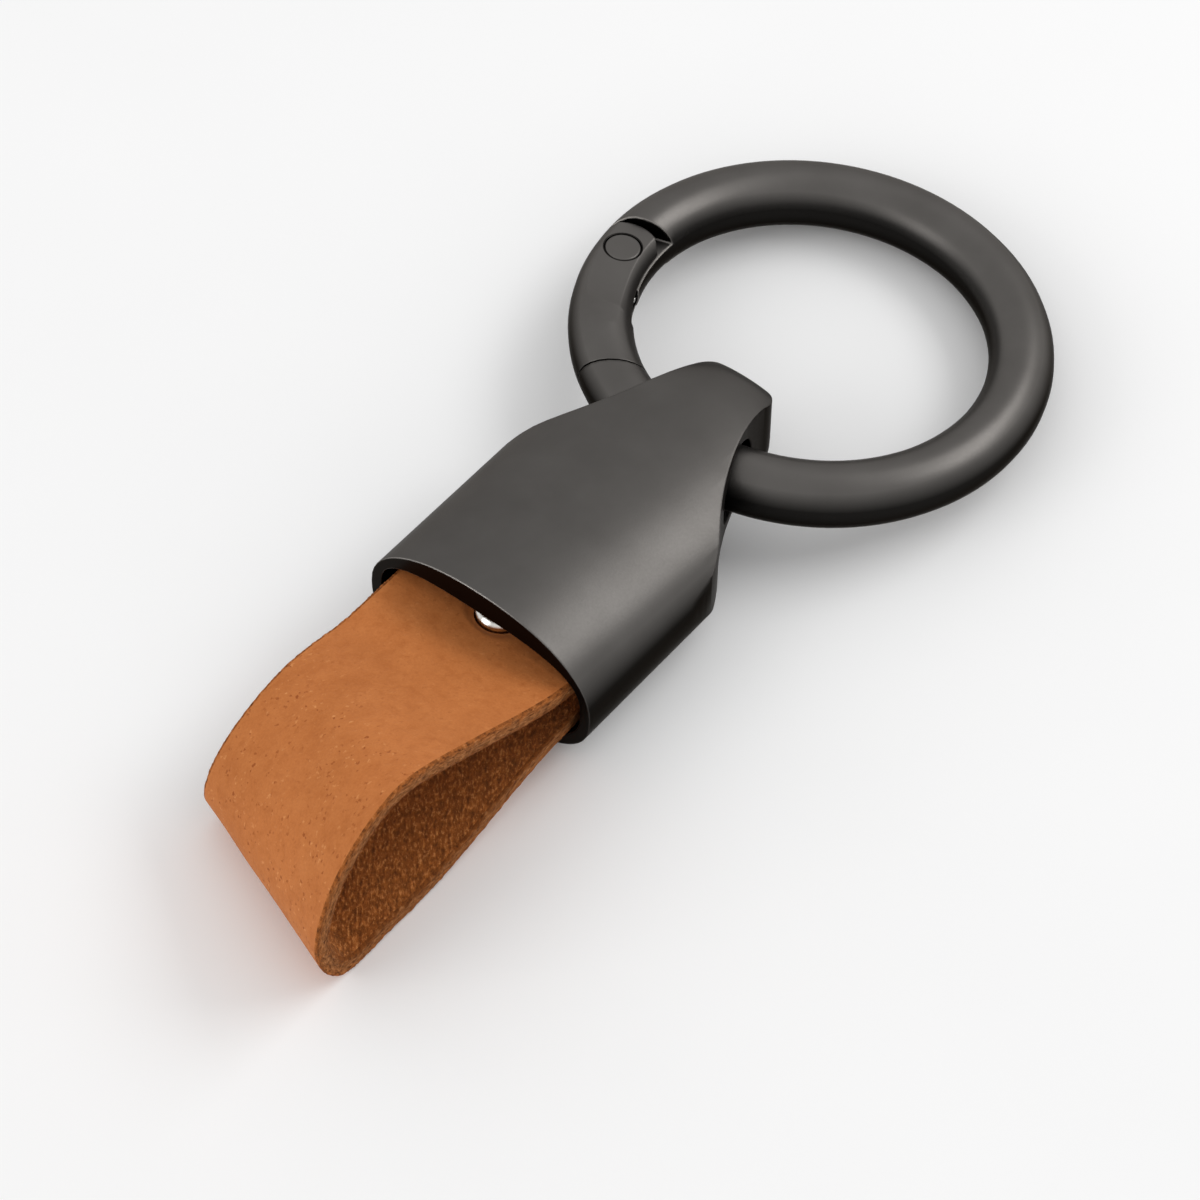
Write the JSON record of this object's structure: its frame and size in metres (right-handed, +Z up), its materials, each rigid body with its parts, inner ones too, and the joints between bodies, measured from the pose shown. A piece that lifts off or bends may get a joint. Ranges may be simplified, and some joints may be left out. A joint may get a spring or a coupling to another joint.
{
  "type": "leather keychain",
  "caption": "Keychain: a folded tan leather strap held in a dark satin metal cap, with a spring-gate ring that swings in the cap's eye and opens inwards to take keys.",
  "frame": {"origin": "middle of the cap's flat back, which is the face the keychain lies on", "axes": "+Z up out of the flat back, +X from the strap to the ring, +Y across the cap towards the ring's hinge"},
  "size_m": [0.0861, 0.037, 0.0162],
  "materials": {
    "gunmetal": "satin dark plating on cast zinc",
    "leather": "smooth tan grain outside, brown suede inside, raw cut edges",
    "bright_metal": "bright plated",
    "spring_wire": "bare spring wire"
  },
  "bodies": {
    "cap_and_strap": {"cap": "gunmetal", "leather_strap": "leather", "strap_post": "bright_metal", "fixing_screw": "bright_metal"},
    "ring": {"ring_body": "gunmetal"},
    "gate": {"gate": "gunmetal", "hinge_pin": "gunmetal", "gate_spring": "spring_wire"}
  },
  "joints": [
    {"name": "ring_swing", "type": "hinge", "parent": "cap_and_strap", "child": "ring", "pos_m": [0.00835, 0, 0.0059], "axis": [0, -1, 0], "range_deg": [-80, 96]},
    {"name": "gate_swing", "type": "hinge", "parent": "ring", "child": "gate", "pos_m": [0.02032, 0.01559, 0.00461], "axis": [0.1075, 0, 0.9942], "range_deg": [0, 18], "stiffness_Nm_per_rad": 0.02, "springref_deg": -20.05, "deforming": ["gate_spring"]}
  ]
}
